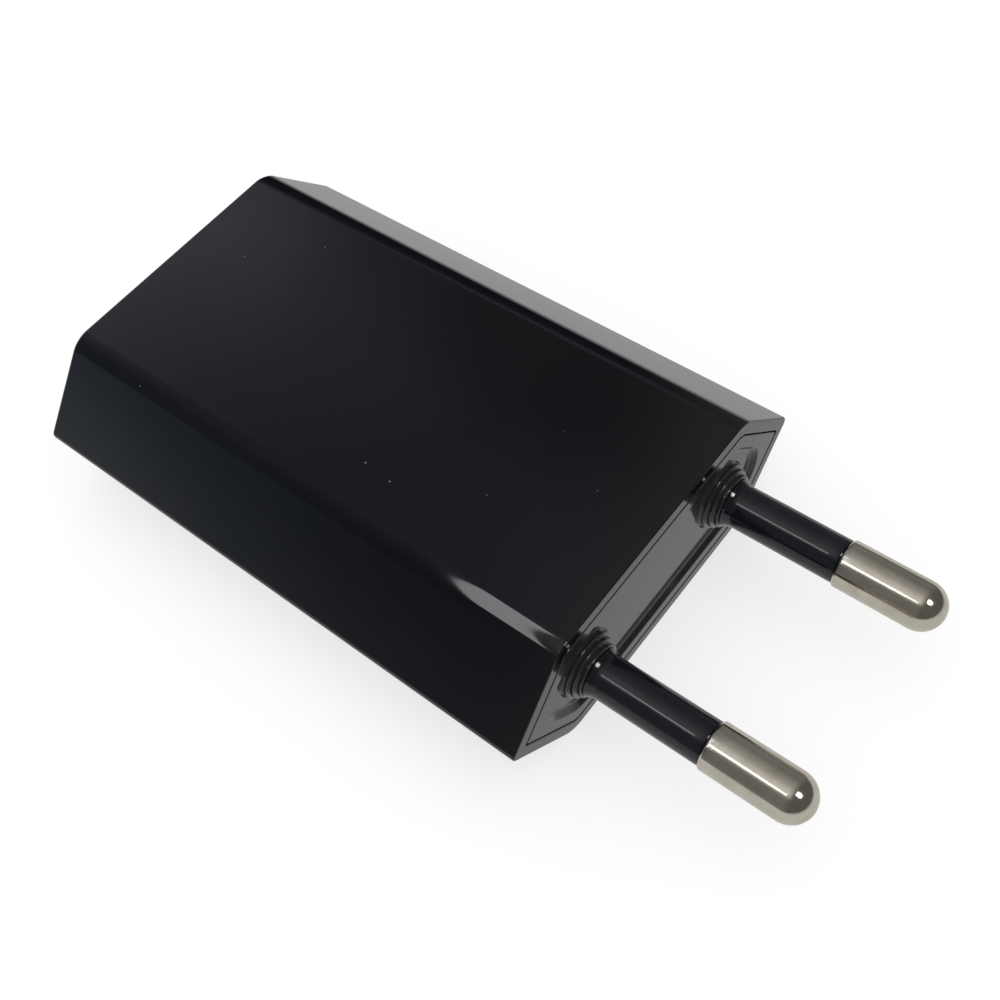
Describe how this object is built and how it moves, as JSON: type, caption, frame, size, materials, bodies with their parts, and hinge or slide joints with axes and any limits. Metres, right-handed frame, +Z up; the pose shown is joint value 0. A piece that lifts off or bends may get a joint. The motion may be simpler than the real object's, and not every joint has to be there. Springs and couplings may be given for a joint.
{
  "type": "usb wall charger",
  "caption": "Slim two-pin mains plug charger with a six-sided gloss case, sleeved round pins and a USB-A socket in its far end.",
  "frame": {"origin": "centre of the bounding box in X and Y, on the lower flat of the case at Z = 0", "axes": "+Y along the mains pins towards the wall socket, -Y out of the usb socket, +Z up through the two flats, +X across the width"},
  "size_m": [0.0364, 0.0712, 0.0137],
  "materials": {
    "case_black": "high gloss moulded black",
    "plate_black": "semi-gloss moulded black with a fine grain",
    "sleeve_black": "gloss black insulation",
    "pin_nickel": "bright nickel plating with fine turning marks",
    "spring_brass": "bare spring brass",
    "board_green": "solder mask over glass-fibre laminate",
    "solder": "bright solder",
    "component_black": "moulded epoxy",
    "resistor_green": "matt cement coating",
    "choke_green": "glossy dipped coating",
    "resistor_tan": "lacquered film resistor",
    "can_sleeve": "shrink sleeve over an aluminium can",
    "ferrite": "sintered ferrite",
    "bobbin_black": "moulded bobbin",
    "copper_wire": "enamelled copper wire",
    "tape_yellow": "polyester tape",
    "opto_white": "moulded white package",
    "disc_blue": "dipped ceramic disc",
    "shield_tin": "tin-plated sheet steel",
    "tongue_white": "moulded nylon",
    "contact_gold": "thin gold flash on spring bronze"
  },
  "bodies": {
    "charger": {"outer_shell": "case_black", "pin_plate": "plate_black", "left_pin": "pin_nickel", "right_pin": "pin_nickel", "left_pin_sleeve": "sleeve_black", "right_pin_sleeve": "sleeve_black", "left_contact_spring": "spring_brass", "right_contact_spring": "spring_brass", "circuit_board": "board_green", "solder_joints": "solder", "fusible_resistor": "resistor_green", "bridge_rectifier": "component_black", "front_input_capacitor": "can_sleeve", "rear_input_capacitor": "can_sleeve", "filter_choke": "choke_green", "start_resistor": "resistor_tan", "switching_transistor": "component_black", "transformer_core_front": "ferrite", "transformer_core_rear": "ferrite", "transformer_bobbin": "bobbin_black", "transformer_windings": "copper_wire", "winding_tape": "tape_yellow", "transformer_terminals": "solder", "optocoupler": "opto_white", "safety_capacitor": "disc_blue", "output_capacitor": "can_sleeve", "output_diode": "component_black", "load_resistor": "resistor_tan", "chip_resistors": "component_black", "usb_shield": "shield_tin", "usb_insulator": "tongue_white", "usb_contact_tails": "contact_gold"},
    "usb_contacts": {"usb_contact_arms": "contact_gold"},
    "upper_latches": {"upper_latch_fingers": "shield_tin"},
    "lower_latches": {"lower_latch_fingers": "shield_tin"}
  },
  "joints": [
    {"name": "usb_contact_flex", "type": "hinge", "parent": "charger", "child": "usb_contacts", "pos_m": [0, -0.0246, 0.00748], "axis": [-1, 0, 0], "range_deg": [0, 4], "stiffness_Nm_per_rad": 0.28},
    {"name": "upper_latch_flex", "type": "hinge", "parent": "charger", "child": "upper_latches", "pos_m": [0, -0.0321, 0.00956], "axis": [1, 0, 0], "range_deg": [0, 5.5], "stiffness_Nm_per_rad": 0.15},
    {"name": "lower_latch_flex", "type": "hinge", "parent": "charger", "child": "lower_latches", "pos_m": [0, -0.0321, 0.00414], "axis": [-1, 0, 0], "range_deg": [0, 5.5], "stiffness_Nm_per_rad": 0.15}
  ]
}
